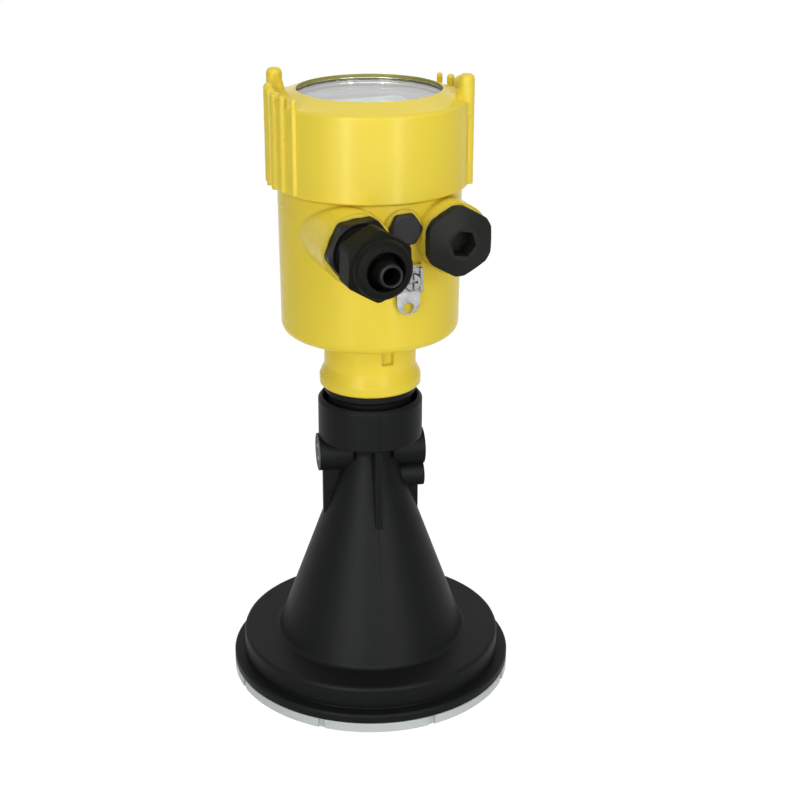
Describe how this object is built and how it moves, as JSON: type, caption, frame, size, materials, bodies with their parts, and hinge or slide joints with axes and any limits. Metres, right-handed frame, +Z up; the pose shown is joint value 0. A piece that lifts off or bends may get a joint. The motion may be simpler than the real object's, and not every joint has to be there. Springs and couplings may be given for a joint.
{
  "type": "radar level transmitter",
  "caption": "Radar level transmitter with a plastic horn antenna and lens, a turning cable housing with gland, plug and ground clamp, and a screwed lid with a window over a display.",
  "frame": {"origin": "centre of the lens underside, on the antenna axis", "axes": "+Z up along the antenna axis towards the lid; -Y towards the front rib of the horn; the strap bosses lie on +X and -X"},
  "size_m": [0.115, 0.1343, 0.2496],
  "materials": {
    "horn_black": "moulded, faint sheen",
    "lens_pale": "pale moulded plastic",
    "seal_rubber": "smooth rubber",
    "insert_brass": "turned",
    "feed_white": "smooth",
    "steel_bright": "bright",
    "housing_yellow": "satin moulded",
    "gland_black": "moulded",
    "module_grey": "moulded",
    "terminal_green": "moulded",
    "display_black": "moulded",
    "screen_grey": "clear faced",
    "key_grey": "moulded",
    "window_clear": "polished"
  },
  "bodies": {
    "antenna": {"horn_flange": "horn_black", "horn_shell": "horn_black", "horn_head": "horn_black", "strap_boss_right": "horn_black", "strap_boss_left": "horn_black", "swivel_boss": "horn_black", "horn_lens": "lens_pale", "lens_seal": "seal_rubber", "strap_inserts": "insert_brass", "waveguide_tube": "insert_brass", "feed_cone": "feed_white", "neck_ring": "horn_black", "neck_seal": "seal_rubber", "neck_circlip": "steel_bright", "rf_module": "steel_bright"},
    "housing": {"housing_neck": "housing_yellow", "housing_shell": "housing_yellow", "gland_body": "gland_black", "gland_body_seal": "seal_rubber", "vent_plug": "gland_black", "vent_seal": "seal_rubber", "ground_tag": "steel_bright", "electronics_module": "module_grey", "contact_tower": "module_grey", "electronics_screws": "steel_bright", "terminal_block": "terminal_green", "contact_pins": "insert_brass"},
    "lid_ring": {"lid_seal": "seal_rubber"},
    "lid": {"lid_shell": "housing_yellow", "window_seal": "seal_rubber", "lid_window": "window_clear", "window_retainer": "steel_bright"},
    "gland_sleeve": {"gland_insert": "seal_rubber"},
    "gland_cap": {"gland_nut": "gland_black"},
    "plug_washer": {"blind_plug_seal": "seal_rubber"},
    "plug": {"blind_plug": "gland_black"},
    "clamp_plate": {"ground_clamp": "steel_bright"},
    "clamp_screw": {"ground_screw": "steel_bright"},
    "display": {"display_module": "display_black", "display_screen": "screen_grey"},
    "key_1": {"display_key_1": "key_grey"},
    "key_2": {"display_key_2": "key_grey"},
    "key_3": {"display_key_3": "key_grey"},
    "key_4": {"display_key_4": "key_grey"}
  },
  "joints": [
    {"name": "housing_turn", "type": "hinge", "parent": "antenna", "child": "housing", "pos_m": [0, 0, 0.14], "axis": [0, 0, 1], "range_deg": [-165, 165]},
    {"name": "lid_lift", "type": "slide", "parent": "housing", "child": "lid_ring", "axis": [0, 0, 1], "range_m": [0, 0.012]},
    {"name": "lid_turn", "type": "hinge", "parent": "lid_ring", "child": "lid", "pos_m": [0, 0, 0.22], "axis": [0, 0, 1], "range_deg": [0, 1440]},
    {"name": "gland_feed", "type": "slide", "parent": "housing", "child": "gland_sleeve", "axis": [0.1736, -0.9848, 0], "range_m": [0, 0.003]},
    {"name": "gland_nut_turn", "type": "hinge", "parent": "gland_sleeve", "child": "gland_cap", "pos_m": [-0.00829, -0.06239, 0.1938], "axis": [0.1736, -0.9848, 0], "range_deg": [0, 720]},
    {"name": "plug_feed", "type": "slide", "parent": "housing", "child": "plug_washer", "axis": [0.1736, -0.9848, 0], "range_m": [0, 0.009]},
    {"name": "plug_turn", "type": "hinge", "parent": "plug_washer", "child": "plug", "pos_m": [0.02566, -0.03609, 0.1938], "axis": [0.1736, -0.9848, 0], "range_deg": [0, 2160]},
    {"name": "clamp_feed", "type": "slide", "parent": "housing", "child": "clamp_plate", "axis": [0.1736, -0.9848, 0], "range_m": [0, 0.0035]},
    {"name": "clamp_screw_turn", "type": "hinge", "parent": "clamp_plate", "child": "clamp_screw", "pos_m": [0.00837, -0.03711, 0.1796], "axis": [0.1736, -0.9848, 0], "range_deg": [0, 1800]},
    {"name": "display_turn", "type": "hinge", "parent": "housing", "child": "display", "pos_m": [0, 0, 0.222], "axis": [0, 0, 1], "range_deg": [0, 20]},
    {"name": "key_1_press", "type": "slide", "parent": "display", "child": "key_1", "axis": [0, 0, -1], "range_m": [0, 0.0008], "stiffness_N_per_m": 300, "springref_m": -0.0005},
    {"name": "key_2_press", "type": "slide", "parent": "display", "child": "key_2", "axis": [0, 0, -1], "range_m": [0, 0.0008], "stiffness_N_per_m": 300, "springref_m": -0.0005},
    {"name": "key_3_press", "type": "slide", "parent": "display", "child": "key_3", "axis": [0, 0, -1], "range_m": [0, 0.0008], "stiffness_N_per_m": 300, "springref_m": -0.0005},
    {"name": "key_4_press", "type": "slide", "parent": "display", "child": "key_4", "axis": [0, 0, -1], "range_m": [0, 0.0008], "stiffness_N_per_m": 300, "springref_m": -0.0005}
  ],
  "couplings": [
    {"joint": "lid_turn", "follows": "lid_lift", "rad_per_m": 2094.4},
    {"joint": "gland_nut_turn", "follows": "gland_feed", "rad_per_m": 4188.8},
    {"joint": "plug_turn", "follows": "plug_feed", "rad_per_m": 4188.8},
    {"joint": "clamp_screw_turn", "follows": "clamp_feed", "rad_per_m": 8976}
  ]
}
